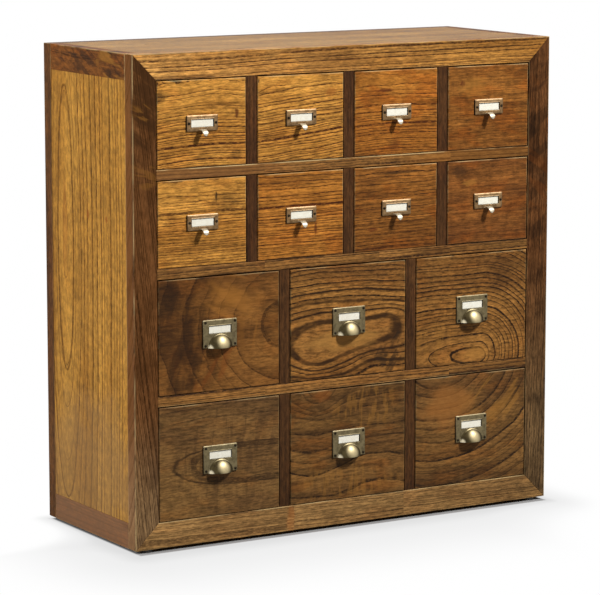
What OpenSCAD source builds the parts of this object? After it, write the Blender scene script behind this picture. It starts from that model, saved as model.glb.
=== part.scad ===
// Apothecary chest: fourteen inset drawers in a mitred frame-and-panel carcass.
// Millimetres, +Z up. The drawers open towards -Y, and the origin lies on the floor
// at the centre of the footprint. Row 1 is the top row, drawer 1 is the left one.

/* [Carcass] */
// Overall width
body_w = 800; // [640:10:1000]
// Depth of the carcass without the pulls
body_d = 308; // [260:2:400]
// Overall height with the glides
total_h = 800; // [700:10:1000]

/* [Frames] */
// Face width of every front and rear frame member
frame_w = 42; // [36:1:50]
// Thickness of the front frame
frame_t = 25; // [24:1:32]
// Thickness of the rear frame
rear_frame_t = 24; // [20:1:30]
// Thickness of the side rails
side_rail_t = 22; // [20:1:26]
// Height of the rails between two rows of drawers
rail_h = 16.5; // [15:0.5:26]
// Width of the dividers between two drawers
divider_w = 19; // [14:1:26]
// How far the divider posts stand back from the face of the frame
divider_recess = 1; // [0.5:0.5:3]

/* [Panels] */
// Thickness of the side panels
side_panel_t = 15; // [13:1:18]
// How far the side panels stand back from the side rails
panel_inset = 0.6; // [0.2:0.2:2]
// Thickness of the top and bottom panels
deck_t = 18; // [14:1:20]
// Thickness of the back panel
back_t = 5; // [4:1:8]
// Width of the rebate that holds the back panel
back_lap = 8; // [5:1:12]
// Thickness of a panel's tongue
tongue_t = 6; // [4:1:8]
// Length of a panel's tongue
tongue_l = 6; // [4:1:8]

/* [Shelves] */
// Thickness of the shelves under the rows
shelf_t = 12; // [9:1:15]
// Depth of the lap between a shelf and its rail
shelf_lap = 8; // [5:1:10]
// Depth of the housings in the side panels
housing = 5; // [3:1:7]
// Height of the guide strips beside the outer drawers
guide_h = 30; // [16:2:60]
// Length of the tenons on the rails
tenon_l = 15; // [8:1:24]
// Thickness of the tenons on the rails
tenon_t = 8; // [6:1:10]
// Shoulder above and below a tenon
shoulder = 3; // [2:1:5]

/* [Glides] */
// Height of the glides under the frames
glide_h = 5; // [3:1:10]
// Diameter of a glide
glide_d = 20; // [14:1:22]
// Distance from the carcass side to the middle of a glide
glide_in = 25; // [20:1:60]

/* [Drawers] */
// Number of drawers in each of the two upper rows
small_columns = 4; // [2:1:4]
// Number of drawers in each of the two lower rows
large_columns = 3; // [2:1:3]
// Height of an opening in the two upper rows
small_h = 142; // [110:1:160]
// Thickness of a drawer front
front_t = 20; // [18:1:22]
// Bevel along the arris of a drawer front
arris = 1; // [0.4:0.2:2]
// Gap beside a drawer front
side_gap = 1.5; // [0.8:0.1:2.5]
// Gap above a drawer front
top_gap = 2; // [1:0.5:4]
// Gap below a drawer front
bottom_gap = 1; // [0.6:0.1:2]
// Thickness of the drawer sides and back
side_t = 10; // [8:1:13]
// Depth of the lap between a drawer side and its front
front_lap = 12; // [8:1:14]
// How much lower than its opening a drawer box is
box_drop = 12; // [8:1:20]
// Thickness of a drawer bottom
bottom_t = 4; // [3:1:6]
// Height of the drawer bottom above the lower edge of the sides
bottom_up = 6; // [4:1:10]
// Depth of the groove that holds a drawer bottom
groove = 5; // [3:1:6]
// Gap between a drawer side and the shelf that it slides on
run_gap = 0.3; // [0.2:0.1:0.5]
// Gap between a closed drawer and the back panel
back_gap = 0.6; // [0.3:0.1:3]

/* [Pulls] */
// Width of the small label plate
small_plate_w = 57; // [54:1:70]
// Height of the small label plate
small_plate_h = 25.5; // [22:0.5:34]
// Width of the large label plate
large_plate_w = 62.5; // [58:0.5:76]
// Height of the large label plate
large_plate_h = 45.5; // [44:0.5:60]
// Thickness of a plate
plate_t = 3; // [2.2:0.1:3.6]
// Corner radius of a plate
plate_r = 1; // [0.5:0.5:3]
// Width of the card window
card_w = 40; // [30:1:43]
// Height of the card window
card_h = 12; // [8:1:13]
// Thickness of the label card with its backing
card_t = 1.8; // [1:0.1:2]
// How far the card reaches under its window's edge
card_lap = 1.2; // [0.6:0.2:1.6]
// Height of the window above the middle of the large plate
window_up = 6.7; // [5:0.1:8]
// Width of the raised bead round a window
bead_w = 1; // [0.6:0.1:1.4]
// Height of the raised bead round a window
bead_h = 0.5; // [0.3:0.1:1]
// Half the width of the finger cup at its plate
cup_a = 22; // [16:0.5:23]
// How far the finger cup stands out from its plate
cup_out = 12; // [10:0.2:20]
// Wall of the finger cup
cup_wall = 1.3; // [1:0.1:2]
// Width of the finger tongue
tab_w = 10; // [7:0.5:14]
// Thickness of the finger tongue
tab_t = 1.8; // [1.2:0.1:2.4]
// How far the finger tongue stands out from the drawer front
tab_out = 14.4; // [12:0.2:15]
// Outer radius of the tongue's bend
tab_r = 7; // [5:0.5:9]
// Height of the tongue's upper face above the lower edge of the plate
tab_up = 3; // [2:0.5:4]
// How far the tongue's tip hangs below the plate
tab_drop = 6; // [5:0.5:10]
// Diameter of a screw head
head_d = 4.6; // [3.6:0.2:5.4]
// Height of a screw head
head_h = 1.1; // [0.6:0.1:1.6]
// Diameter of a screw shank
shank_d = 2.2; // [1.6:0.2:3]
// Length of a screw shank in the drawer front
shank_l = 12; // [6:1:15]
// Distance from a plate's edge to the middle of a screw
screw_in = 4; // [3.6:0.1:4.4]

/* [Hidden] */
CARCASS = [
    "front_stile_left", "front_stile_right", "front_rail_top", "front_rail_bottom",
    "rear_stiles", "rear_rails", "side_rails", "side_panel_left", "side_panel_right",
    "top_panel", "bottom_panel", "back_panel", "row_rails", "shelves",
    "divider_posts", "partitions", "drawer_guides", "glides"
];
PIECES = ["front", "box", "pull"];
ROWS = [1:4];

dark_wood = "#4a2c18";
rail_wood = "#7a4a26";
honey_wood = "#b07a3c";
walnut = "#6b4022";
plain_wood = "#d2ad7a";
brass = "#8c7a4a";
card_white = "#efeadb";
black_plastic = "#2a2826";

// Smallest space left around a glued tongue, tenon or shank
fit = 0.15;
// Overshoot of a cut past the face that it opens
cut = 1;
// Fineness of the turned faces
$fn = 64;

pull_out = max(plate_t + cup_out, tab_out);
hw = body_w / 2;
front_y = (pull_out - body_d) / 2;
back_y = front_y + body_d;
in_y0 = front_y + frame_t;
in_y1 = back_y - rear_frame_t;
open_w = body_w - 2 * frame_w;
open_z0 = glide_h + frame_w;
open_z1 = total_h - frame_w;
large_h = (open_z1 - open_z0 - 3 * rail_h - 2 * small_h) / 2;
panel_x0 = hw - panel_inset - side_panel_t;
box_y0 = front_y + front_t - front_lap;
box_y1 = in_y1 - back_gap;
cup_r = (cup_a * cup_a + cup_out * cup_out) / (2 * cup_out);
cup_y = cup_r - cup_out - plate_t;

function drawer_node(r, c, piece) = str("row", r, "_drawer", c, "_", piece);
function columns(r) = r <= 2 ? small_columns : large_columns;
function row_h(r) = r <= 2 ? small_h : large_h;
function row_z(r) = r == 4 ? open_z0 : row_z(r + 1) + row_h(r + 1) + rail_h;
function ceiling_z(r) = r == 1 ? total_h - deck_t : row_z(r - 1) - shelf_t;
function col_w(r) = (open_w - (columns(r) - 1) * divider_w) / columns(r);
function col_x(r, c) = -open_w / 2 + (c - 1) * (col_w(r) + divider_w);
function plate_w(r) = r <= 2 ? small_plate_w : large_plate_w;
function plate_h(r) = r <= 2 ? small_plate_h : large_plate_h;
function window_z(r) = r <= 2 ? 0 : window_up;
function screw_x(r) = plate_w(r) / 2 - screw_in;
function screw_zs(r) = r <= 2 ? [0] : [-1, 1] * (plate_h(r) / 2 - screw_in);

// A block between its low and high corners
module block(lo, hi) {
    translate(lo) cube(hi - lo);
}

// The same shape on the left and the right of the chest
module both_sides() {
    for (s = [0, 1]) mirror([s, 0, 0]) children();
}

// A frame member with the given outline in the plane of its frame
module frame_member(outline, y0, t) {
    difference() {
        translate([0, y0 + t, 0]) rotate([90, 0, 0]) linear_extrude(t) polygon(outline);
        joinery(fit);
    }
}

module left_stile(y0, t) {
    frame_member([[-hw, glide_h], [-open_w / 2, open_z0],
                  [-open_w / 2, open_z1], [-hw, total_h]], y0, t);
}

module top_rail(y0, t) {
    frame_member([[-hw, total_h], [-open_w / 2, open_z1],
                  [open_w / 2, open_z1], [hw, total_h]], y0, t);
}

module bottom_rail(y0, t) {
    frame_member([[-hw, glide_h], [hw, glide_h],
                  [open_w / 2, open_z0], [-open_w / 2, open_z0]], y0, t);
}

// Tongues, tenons and the back panel, which the frames and side rails are cut for
module joinery(gap) {
    both_sides() side_tongue(gap);
    deck_tongue(total_h - deck_t, gap);
    deck_tongue(open_z0 - deck_t, gap);
    for (r = [1:3]) rail_tenons(r, gap);
    back_board(gap);
}

module side_tongue(gap) {
    x = hw - panel_inset - side_panel_t / 2;
    g = [gap, gap, gap];
    block([x - tongue_t / 2, in_y0 - tongue_l, open_z0 - tongue_l] - g,
          [x + tongue_t / 2, in_y1 + tongue_l, open_z1 + tongue_l] + g);
}

// The tongue of a top or bottom panel lies along its lower face
module deck_tongue(z, gap) {
    x = hw - side_rail_t + tongue_l;
    g = [gap, gap, gap];
    block([-x, in_y0 - tongue_l, z] - g, [x, in_y1 + tongue_l, z + tongue_t] + g);
}

module rail_tenons(r, gap) {
    y = front_y + (frame_t - shelf_lap - tenon_t) / 2;
    z = row_z(r);
    g = [gap, gap, gap];
    block([-open_w / 2 - tenon_l, y, z - rail_h + shoulder] - g,
          [open_w / 2 + tenon_l, y + tenon_t, z - shoulder] + g);
}

// The rebate for the back panel ends above the tongue of the bottom panel
module back_board(gap) {
    low_lap = min(back_lap, deck_t - tongue_t - 2);
    block([-open_w / 2 - back_lap - gap, in_y1, open_z0 - low_lap - gap],
          [open_w / 2 + back_lap + gap, in_y1 + back_t, open_z1 + back_lap + gap]);
}

module front_stile_left() {
    color(dark_wood) left_stile(front_y, frame_t);
}

module front_stile_right() {
    color(dark_wood) mirror([1, 0, 0]) left_stile(front_y, frame_t);
}

module front_rail_top() {
    color(rail_wood) top_rail(front_y, frame_t);
}

module front_rail_bottom() {
    color(rail_wood) bottom_rail(front_y, frame_t);
}

module rear_stiles() {
    color(dark_wood) both_sides() left_stile(in_y1, rear_frame_t);
}

module rear_rails() {
    color(rail_wood) {
        top_rail(in_y1, rear_frame_t);
        bottom_rail(in_y1, rear_frame_t);
    }
}

module side_rails() {
    color(dark_wood) both_sides() for (z = [glide_h, open_z1]) difference() {
        block([hw - side_rail_t, in_y0, z], [hw, in_y1, z + frame_w]);
        joinery(fit);
    }
}

module side_panel() {
    color(honey_wood) difference() {
        union() {
            block([panel_x0, in_y0, open_z0], [hw - panel_inset, in_y1, open_z1]);
            side_tongue(0);
        }
        for (r = [1:3]) {
            block([panel_x0 - cut, in_y0 - cut, row_z(r) - shelf_t],
                  [panel_x0 + housing, in_y1 + cut, row_z(r)]);
        }
    }
}

module side_panel_left() {
    mirror([1, 0, 0]) side_panel();
}

module side_panel_right() {
    side_panel();
}

module deck(z) {
    color(honey_wood) {
        block([side_rail_t - hw, in_y0, z], [hw - side_rail_t, in_y1, z + deck_t]);
        deck_tongue(z, 0);
    }
}

module top_panel() {
    deck(total_h - deck_t);
}

module bottom_panel() {
    deck(open_z0 - deck_t);
}

module back_panel() {
    color(plain_wood) back_board(0);
}

module row_rails() {
    color(rail_wood) for (r = [1:3]) {
        z = row_z(r);
        difference() {
            union() {
                block([-open_w / 2, front_y, z - rail_h], [open_w / 2, in_y0, z]);
                rail_tenons(r, 0);
            }
            block([-open_w / 2 - cut, in_y0 - shelf_lap, z - shelf_t],
                  [open_w / 2 + cut, in_y0 + cut, z + cut]);
        }
    }
}

module shelves() {
    x = panel_x0 + housing - fit;
    color(plain_wood) for (r = [1:3]) {
        z = row_z(r);
        block([-x, in_y0, z - shelf_t], [x, in_y1, z]);
        block([-open_w / 2, in_y0 - shelf_lap, z - shelf_t], [open_w / 2, in_y0 + cut, z]);
    }
}

// A board between each two neighbouring drawers of every row
module between_drawers(y0, y1, to_ceiling) {
    for (r = ROWS, c = [1:columns(r) - 1]) {
        x = col_x(r, c) + col_w(r);
        z1 = to_ceiling ? ceiling_z(r) : row_z(r) + row_h(r);
        block([x, y0, row_z(r)], [x + divider_w, y1, z1]);
    }
}

module divider_posts() {
    color(dark_wood) between_drawers(front_y + divider_recess, in_y0, false);
}

module partitions() {
    color(plain_wood) between_drawers(in_y0, in_y1, true);
}

module drawer_guides() {
    color(plain_wood) both_sides() for (r = ROWS) {
        block([open_w / 2, in_y0, row_z(r)], [panel_x0, in_y1, row_z(r) + guide_h]);
    }
}

module glides() {
    color(black_plastic) both_sides() {
        for (y = [front_y + frame_t / 2, back_y - rear_frame_t / 2]) {
            translate([hw - glide_in, y, 0]) cylinder(h = glide_h, d = glide_d);
        }
    }
}

module drawer_front(r, c) {
    x0 = col_x(r, c) + side_gap;
    x1 = col_x(r, c) + col_w(r) - side_gap;
    z0 = row_z(r) + bottom_gap;
    z1 = row_z(r) + row_h(r) - top_gap;
    y1 = front_y + front_t;
    floor_z = row_z(r) + run_gap + bottom_up;
    color(r <= 2 ? honey_wood : walnut) difference() {
        bevelled_board([x0, front_y, z0], [x1, y1, z1]);
        for (x = [x0 - cut, x1 - side_t]) {
            block([x, box_y0, z0 - cut], [x + side_t + cut, y1 + cut, box_top(r)]);
        }
        block([x0 - cut, y1 - groove, floor_z - fit],
              [x1 + cut, y1 + cut, floor_z + bottom_t + fit]);
        at_pull(r, c) at_screws(r) rotate([-90, 0, 0]) {
            translate([0, 0, -cut]) cylinder(h = shank_l + fit + cut, d = shank_d + 2 * fit);
        }
    }
}

function box_top(r) = row_z(r) + row_h(r) - box_drop;

// A board with bevels along the four edges of its front
module bevelled_board(lo, hi) {
    intersection() {
        translate([0, 0, lo.z]) linear_extrude(hi.z - lo.z) {
            polygon(bevelled_outline(lo.x, hi.x, lo.y, hi.y));
        }
        translate([lo.x, 0, 0]) rotate([90, 0, 90]) linear_extrude(hi.x - lo.x) {
            polygon([for (p = bevelled_outline(lo.z, hi.z, lo.y, hi.y)) [p.y, p.x]]);
        }
    }
}

// An outline along the first axis, bevelled at its low end on the second
function bevelled_outline(a0, a1, b0, b1) = [
    [a0, b1], [a0, b0 + arris], [a0 + arris, b0],
    [a1 - arris, b0], [a1, b0 + arris], [a1, b1]
];

module drawer_box(r, c) {
    x0 = col_x(r, c) + side_gap;
    x1 = col_x(r, c) + col_w(r) - side_gap;
    z0 = row_z(r) + run_gap;
    z1 = box_top(r);
    floor_z = z0 + bottom_up;
    in0 = x0 + side_t;
    in1 = x1 - side_t;
    color(plain_wood) {
        for (x = [x0, in1]) difference() {
            block([x, box_y0, z0], [x + side_t, box_y1, z1]);
            block([in0 - groove, box_y0 - cut, floor_z - fit],
                  [in1 + groove, box_y1 + cut, floor_z + bottom_t + fit]);
        }
        block([in0 + fit, box_y1 - side_t, floor_z + bottom_t + fit],
              [in1 - fit, box_y1, z1]);
        block([in0 - groove + fit, front_y + front_t - groove + fit, floor_z],
              [in1 + groove - fit, box_y1, floor_z + bottom_t]);
    }
}

// The middle of a drawer front's face, with -Y pointing out of it
module at_pull(r, c) {
    translate([col_x(r, c) + col_w(r) / 2, front_y, row_z(r) + row_h(r) / 2]) children();
}

module at_screws(r) {
    for (x = [-1, 1] * screw_x(r), z = screw_zs(r)) translate([x, 0, z]) children();
}

// A flat shape on the drawer's face, from one distance out of it to another
module raised(from, to) {
    translate([0, -from, 0]) rotate([90, 0, 0]) linear_extrude(to - from) children();
}

module rounded_rect(w, h, r) {
    square([w - 2 * r, h], center = true);
    square([w, h - 2 * r], center = true);
    for (x = [-1, 1], y = [-1, 1]) translate([x * (w / 2 - r), y * (h / 2 - r)]) circle(r);
}

module window(grow) {
    square([card_w + 2 * grow, card_h + 2 * grow], center = true);
}

// A plate with its window, its bead and the pocket behind for the card
module label_plate(r) {
    difference() {
        union() {
            raised(0, plate_t) rounded_rect(plate_w(r), plate_h(r), plate_r);
            translate([0, 0, window_z(r)]) raised(0, plate_t + bead_h) window(bead_w);
            children();
        }
        translate([0, 0, window_z(r)]) {
            raised(-cut, plate_t + bead_h + cut) window(0);
            raised(-cut, card_t + fit) window(card_lap + fit);
        }
        at_screws(r) raised(-cut, plate_t + cut) circle(d = shank_d + 2 * fit);
    }
}

module label_card(r) {
    color(card_white) translate([0, 0, window_z(r)]) raised(0, card_t) window(card_lap);
}

module plate_screws(r) {
    ball_r = (head_d * head_d / 4 + head_h * head_h) / (2 * head_h);
    color(brass) at_screws(r) {
        translate([0, -plate_t - fit, 0]) intersection() {
            translate([0, ball_r - head_h, 0]) sphere(ball_r);
            raised(0, head_h + cut) circle(d = head_d);
        }
        raised(-shank_l, plate_t + fit) circle(d = shank_d);
    }
}

// The tongue bends out of the plate and down, and its tip is round
module finger_tongue(r) {
    top = tab_up - plate_h(r) / 2;
    tip = -tab_drop - plate_h(r) / 2;
    bend_x = tab_out - tab_r;
    intersection() {
        rotate([90, 0, -90]) translate([0, 0, -tab_w / 2]) linear_extrude(tab_w) {
            translate([plate_t / 2, top - tab_t]) square([bend_x - plate_t / 2, tab_t]);
            translate([tab_out - tab_t, tip]) square([tab_t, top - tab_r - tip]);
            translate([bend_x, top - tab_r]) difference() {
                intersection() {
                    circle(tab_r);
                    square(tab_r);
                }
                circle(tab_r - tab_t);
            }
        }
        raised(0, tab_out) {
            translate([-tab_w / 2, tip + tab_w / 2]) square([tab_w, top - tip - tab_w / 2]);
            translate([0, tip + tab_w / 2]) circle(tab_w / 2);
        }
    }
}

// Upper half of a shallow dome, hollow and open below
module cup_dome(r) {
    base = -plate_h(r) / 2;
    intersection() {
        translate([0, cup_y, base]) sphere(cup_r);
        block([-cup_r, -plate_t - cup_out, base], [cup_r, 0, base + cup_r]);
    }
}

module cup_hollow(r) {
    translate([0, cup_y, -plate_h(r) / 2]) sphere(cup_r - cup_wall);
}

module drawer_pull(r, c) {
    at_pull(r, c) {
        color(brass) {
            if (r <= 2) {
                label_plate(r) finger_tongue(r);
            } else {
                difference() {
                    label_plate(r) cup_dome(r);
                    cup_hollow(r);
                }
            }
        }
        label_card(r);
        plate_screws(r);
    }
}

front_stile_left();
front_stile_right();
front_rail_top();
front_rail_bottom();
rear_stiles();
rear_rails();
side_rails();
side_panel_left();
side_panel_right();
top_panel();
bottom_panel();
back_panel();
row_rails();
shelves();
divider_posts();
partitions();
drawer_guides();
glides();
for (r = ROWS, c = [1:columns(r)]) {
    drawer_front(r, c);
    drawer_box(r, c);
    drawer_pull(r, c);
}
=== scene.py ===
"""Looks of the apothecary chest: varnished figured wood, aged brass pulls, a pale studio."""
import math

import bmesh
import bpy
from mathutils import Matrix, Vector


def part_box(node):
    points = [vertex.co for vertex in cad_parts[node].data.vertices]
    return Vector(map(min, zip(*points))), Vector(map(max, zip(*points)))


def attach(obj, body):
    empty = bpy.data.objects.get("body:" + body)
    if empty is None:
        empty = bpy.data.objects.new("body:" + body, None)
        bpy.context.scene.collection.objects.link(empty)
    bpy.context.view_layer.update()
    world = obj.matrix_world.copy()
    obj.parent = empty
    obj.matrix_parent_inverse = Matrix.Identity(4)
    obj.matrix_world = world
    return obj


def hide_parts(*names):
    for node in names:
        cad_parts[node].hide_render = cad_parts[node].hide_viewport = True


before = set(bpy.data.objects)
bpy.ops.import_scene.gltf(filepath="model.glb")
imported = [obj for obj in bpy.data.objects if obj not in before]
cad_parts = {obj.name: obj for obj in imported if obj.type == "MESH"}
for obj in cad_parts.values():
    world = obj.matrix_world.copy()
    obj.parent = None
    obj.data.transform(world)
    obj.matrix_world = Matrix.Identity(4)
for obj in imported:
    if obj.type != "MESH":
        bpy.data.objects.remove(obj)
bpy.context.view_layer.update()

MM = 0.001
X, Y, Z = 0, 1, 2


def srgb(red, green, blue):
    """A colour given as it looks on a screen, 0 to 255, as linear RGBA."""
    def linear(value):
        part = value / 255
        return part / 12.92 if part <= 0.04045 else ((part + 0.055) / 1.055) ** 2.4
    return (linear(red), linear(green), linear(blue), 1.0)


class Wire:
    """An output of a shader node. Working with it adds the nodes that give the result: Math
    nodes on numbers, VectorMath nodes on places and colours. A place or colour stands first."""

    def __init__(self, socket):
        self.socket = socket
        self.is_number = socket.type == "VALUE"

    def add(self, kind, inputs, **settings):
        return add_node(self.socket.id_data, kind, inputs, **settings)

    def work_out(self, operation, *values):
        kind = "Math" if self.is_number else "VectorMath"
        outputs = self.add(kind, dict(enumerate(values)), operation=operation)
        return outputs["Value" if operation in ("LENGTH", "DOT_PRODUCT") else 0]

    def __add__(self, other):
        return self.work_out("ADD", self, other)

    __radd__ = __add__

    def __sub__(self, other):
        return self.work_out("SUBTRACT", self, other)

    def __rsub__(self, other):
        return self.work_out("SUBTRACT", other, self)

    def __mul__(self, other):
        by_number = other.is_number if isinstance(other, Wire) else not isinstance(other, tuple)
        if by_number and not self.is_number:
            return self.add("VectorMath", {0: self, "Scale": other}, operation="SCALE")[0]
        return self.work_out("MULTIPLY", self, other)

    def __truediv__(self, other):
        return self.work_out("DIVIDE", self, other)

    def __rtruediv__(self, other):
        return self.work_out("DIVIDE", other, self)

    def __pow__(self, other):
        return self.work_out("POWER", self, other)

    def __abs__(self):
        return self.work_out("ABSOLUTE", self)

    def at_least(self, other):
        return self.work_out("MAXIMUM", self, other)

    def at_most(self, other):
        return self.work_out("MINIMUM", self, other)

    def above(self, other):
        """1 where this is more than the other, else 0."""
        return self.work_out("GREATER_THAN", self, other)

    def exponential(self):
        return self.work_out("EXPONENT", self)

    def floor(self):
        return self.work_out("FLOOR", self)

    def fraction(self):
        return self.work_out("FRACT", self)

    def length(self):
        return self.work_out("LENGTH", self)

    def dot(self, other):
        return self.work_out("DOT_PRODUCT", self, other)

    def clamped(self):
        """The same Math node, held between 0 and 1."""
        self.socket.node.use_clamp = True
        return self

    def parts(self):
        outputs = self.add("SeparateXYZ", {0: self})
        return [outputs[axis] for axis in (X, Y, Z)]

    def ramp(self, low, high, out_low=0.0, out_high=1.0):
        """A smooth step as this goes from low to high."""
        inputs = {"Value": self, "From Min": low, "From Max": high,
                  "To Min": out_low, "To Max": out_high}
        return self.add("MapRange", inputs, interpolation_type="SMOOTHSTEP")[0]

    def noise(self, scale=1.0, detail=2.0, roughness=0.5, distortion=0.0, output=0):
        inputs = {"Vector": self, "Scale": scale, "Detail": detail,
                  "Roughness": roughness, "Distortion": distortion}
        return self.add("TexNoise", inputs, noise_dimensions="3D")[output]

    def chance(self):
        """A random number from 0 to 1 for each value of this."""
        return self.add("TexWhiteNoise", {"W": self}, noise_dimensions="1D")["Value"]

    def stretched(self, along, across):
        """Noise coordinates with so many waves a metre along the grain and across it."""
        return self * (along, across, across)


def add_node(tree, kind, inputs=None, **settings):
    """Adds a shader node, feeds its inputs and gives its outputs by number and by name."""
    made = tree.nodes.new("ShaderNode" + kind)
    for key, value in settings.items():
        setattr(made, key, value)
    for key, value in (inputs or {}).items():
        if isinstance(value, Wire):
            tree.links.new(value.socket, made.inputs[key])
        else:
            made.inputs[key].default_value = value
    wires = [Wire(socket) for socket in made.outputs]
    return dict(enumerate(wires)) | {wire.socket.name: wire for wire in wires}


def join(x, y, z):
    """A place from its three parts, of which at least one is a wire."""
    wire = next(part for part in (x, y, z) if isinstance(part, Wire))
    return wire.add("CombineXYZ", {X: x, Y: y, Z: z})[0]


def mix(share, a, b):
    """A colour on its way from a to b."""
    return share.add("Mix", {0: share, 6: a, 7: b}, data_type="RGBA")[2]


def blend(share, a, b):
    """A number on its way from a to b."""
    return share.add("Mix", {0: share, 2: a, 3: b}, data_type="FLOAT")[0]


def new_material(name):
    """An empty material and its node tree."""
    material = bpy.data.materials.new(name)
    material.use_nodes = True
    material.node_tree.nodes.clear()
    return material, material.node_tree


def object_place(tree):
    """Coordinates in metres, which ride with the body."""
    return add_node(tree, "TexCoord")["Object"]


def principled(tree, relief, inputs):
    """Ends a material. The relief is a height with the strength and depth of its bump."""
    bump = add_node(tree, "Bump", dict(zip(("Height", "Strength", "Distance"), relief)))[0]
    shader = add_node(tree, "BsdfPrincipled", {**inputs, "Normal": bump})[0]
    add_node(tree, "OutputMaterial", {"Surface": shader})


# What a board sets, with its usual value. Rings are counted per metre from the pith. Reach is
# how round they run on its left and right, and 0 is straight. Lean is the grain's slope and arch
# its bow. Warp lets it wander, swell pushes rings aside and core holds none, all in metres. Line
# is a width in mm, grain makes pores finer, and contrast to pores are shares.
WOOD_INPUTS = [
    ("Board", "Vector", (0, 0, 0)), ("Seed", "Float", 0.0),
    ("Pith", "Vector", (0, 0.3, 0.1)), ("Rings", "Float", 90.0), ("Swell", "Float", 0.0),
    ("Reach left", "Float", 0.0), ("Reach right", "Float", 0.0),
    ("Lean", "Float", 0.0), ("Arch", "Float", 0.0), ("Core", "Float", 0.0),
    ("Warp", "Float", 0.010), ("Line", "Float", 1.5), ("Contrast", "Float", 1.2),
    ("Hair", "Float", 0.6), ("Late", "Float", 0.2), ("Blotch", "Float", 0.3),
    ("Streak", "Float", 0.5), ("Fibre", "Float", 1.0), ("Curl", "Float", 0.0),
    ("Glow", "Float", 0.3), ("Pores", "Float", 0.3), ("Grain", "Float", 1.0),
    ("Light", "Color", (1, 1, 1, 1)), ("Mid", "Color", (1, 1, 1, 1)),
    ("Dark", "Color", (1, 1, 1, 1)), ("Ember", "Color", (1, 1, 1, 1)),
]
WOOD_OUTPUTS = [("Color", "Color"), ("Roughness", "Float"), ("Height", "Float"),
                ("Radius", "Float")]
SEED_SHIFT = (7.31, 3.17, 1.71)
FINE_GRAIN = 330.0
HAIR_LINES_PER_RING = 2.7
WIDEST_LINE = 0.26
FLATTEST_CUT = 0.08


def sway(place, along, across, amount, detail=2.0):
    """A wandering of the grain by up to half the amount."""
    moved = place.stretched(along, across).noise(detail=detail, output="Color")
    return (moved - (0.5, 0.5, 0.5)) * amount


def bend_grain(board, place, warp):
    """Board coordinates with a slow sway, waves and fine crinkles in the grain."""
    bent = board + sway(place, 3.0, 8.0, warp, 1.5)
    bent = bent + sway(place, 16.0, 45.0, warp * 0.32)
    return bent + sway(place, 70.0, 200.0, 0.6 * MM)


def growth(bent, given):
    """Distance from the pith, and how many rings a metre of the sawn face crosses."""
    parts, pith = bent.parts(), given["Pith"].parts()
    off = parts[X] - pith[X]
    reach = blend(off.ramp(-0.03, 0.03), given["Reach left"], given["Reach right"])
    along = off * reach
    across = parts[Y] - parts[X] * given["Lean"]
    across = across + off * off * given["Arch"] - pith[Y]
    radius = join(along, across, parts[Z] - pith[Z]).length()
    slope = join(along * reach, across, 0.0).length() / radius
    return radius + given["Swell"], slope.at_least(FLATTEST_CUT) * given["Rings"]


def ring_lines(years, pitch, seed, width, weakest):
    """Dark lines of about one width on the face, how far each ring has grown, and a random
    number for each ring."""
    part = years.fraction()
    chance = (years.floor() + seed * 13.7).chance()
    face = part / pitch
    wide = ((chance * 0.7 + 0.65) * width).at_most(WIDEST_LINE / pitch)
    line = face.ramp(0.0, 0.25 * MM) * (face - wide).ramp(0.5 * MM, 0.0)
    return line * chance.ramp(-0.1, 0.9, weakest, 1.0), part, chance


def figured_color(place, given, lines, hair, late, fleck):
    """Colour clouds, gleams, then the dark parts one over the other."""
    band = place.stretched(1.6, 16.0).noise()
    cloud = place.stretched(9.0, 18.0).noise(detail=3.0, roughness=0.6)
    tone = band.ramp(0.36, 0.64, 0.0, 0.6) + cloud.ramp(0.4, 0.66, 0.0, 0.4)
    blotch = place.stretched(13.0, 24.0).noise(detail=3.0, distortion=0.8)
    blotch = blotch.ramp(0.5, 0.7) * given["Blotch"]
    streak = place.stretched(7.0, 150.0).noise().ramp(0.54, 0.68) * given["Streak"]
    gleam = place.stretched(14.0, 34.0).noise(detail=3.0, distortion=0.5, output="Color")
    gleam = gleam.parts()[Z].ramp(0.48, 0.66) * given["Glow"]
    color = mix(tone, given["Light"], given["Mid"])
    color = mix(gleam, color, given["Ember"])
    for share in (late, (hair * 0.9).clamped(), streak * 0.7, blotch,
                  (lines * given["Contrast"]).clamped(), (fleck * 0.75).clamped()):
        color = mix(share, color, given["Dark"])
    return color


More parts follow.
